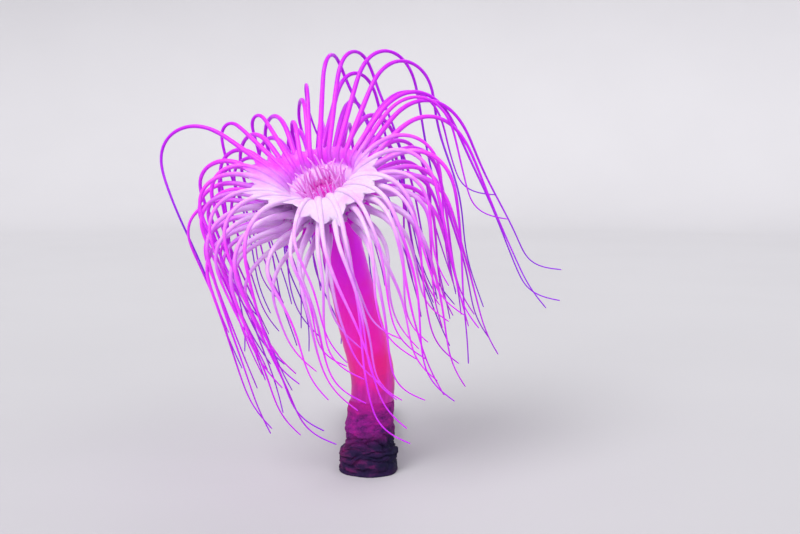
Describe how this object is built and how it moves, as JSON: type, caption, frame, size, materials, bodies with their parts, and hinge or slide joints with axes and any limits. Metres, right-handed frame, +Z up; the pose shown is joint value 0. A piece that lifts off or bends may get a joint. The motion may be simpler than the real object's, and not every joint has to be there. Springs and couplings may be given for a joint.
{
  "type": "tube-dwelling anemone",
  "caption": "Tube-dwelling anemone with a smooth leaning column in a felt tube and a fountain of long arching tentacles, as a still life-size model.",
  "frame": {"origin": "centre of the flat underside of the collar, on the floor", "axes": "+Z up, front towards -Y, the rest of the tube lies towards +Y"},
  "size_m": [0.2823, 0.2922, 0.2959],
  "materials": {
    "felt": "matte wrinkled felt",
    "column": "smooth moist skin",
    "disc": "smooth moist skin",
    "tentacles": "smooth translucent skin"
  },
  "bodies": {
    "root": {"tube_collar": "felt", "tube_sleeve": "felt", "tube_rear_near": "felt", "tube_rear_far": "felt", "column_lower": "column", "column_middle": "column", "column_upper": "column", "oral_disc": "disc", "crown_01": "tentacles", "crown_02": "tentacles", "crown_03": "tentacles", "crown_04": "tentacles", "crown_05": "tentacles", "crown_06": "tentacles", "crown_07": "tentacles", "crown_08": "tentacles", "crown_09": "tentacles", "crown_10": "tentacles", "crown_11": "tentacles", "crown_12": "tentacles", "crown_13": "tentacles", "crown_14": "tentacles", "crown_15": "tentacles", "crown_16": "tentacles", "crown_17": "tentacles", "crown_18": "tentacles", "crown_19": "tentacles", "crown_20": "tentacles", "crown_21": "tentacles", "crown_22": "tentacles", "crown_23": "tentacles", "crown_24": "tentacles"}
  },
  "joints": []
}
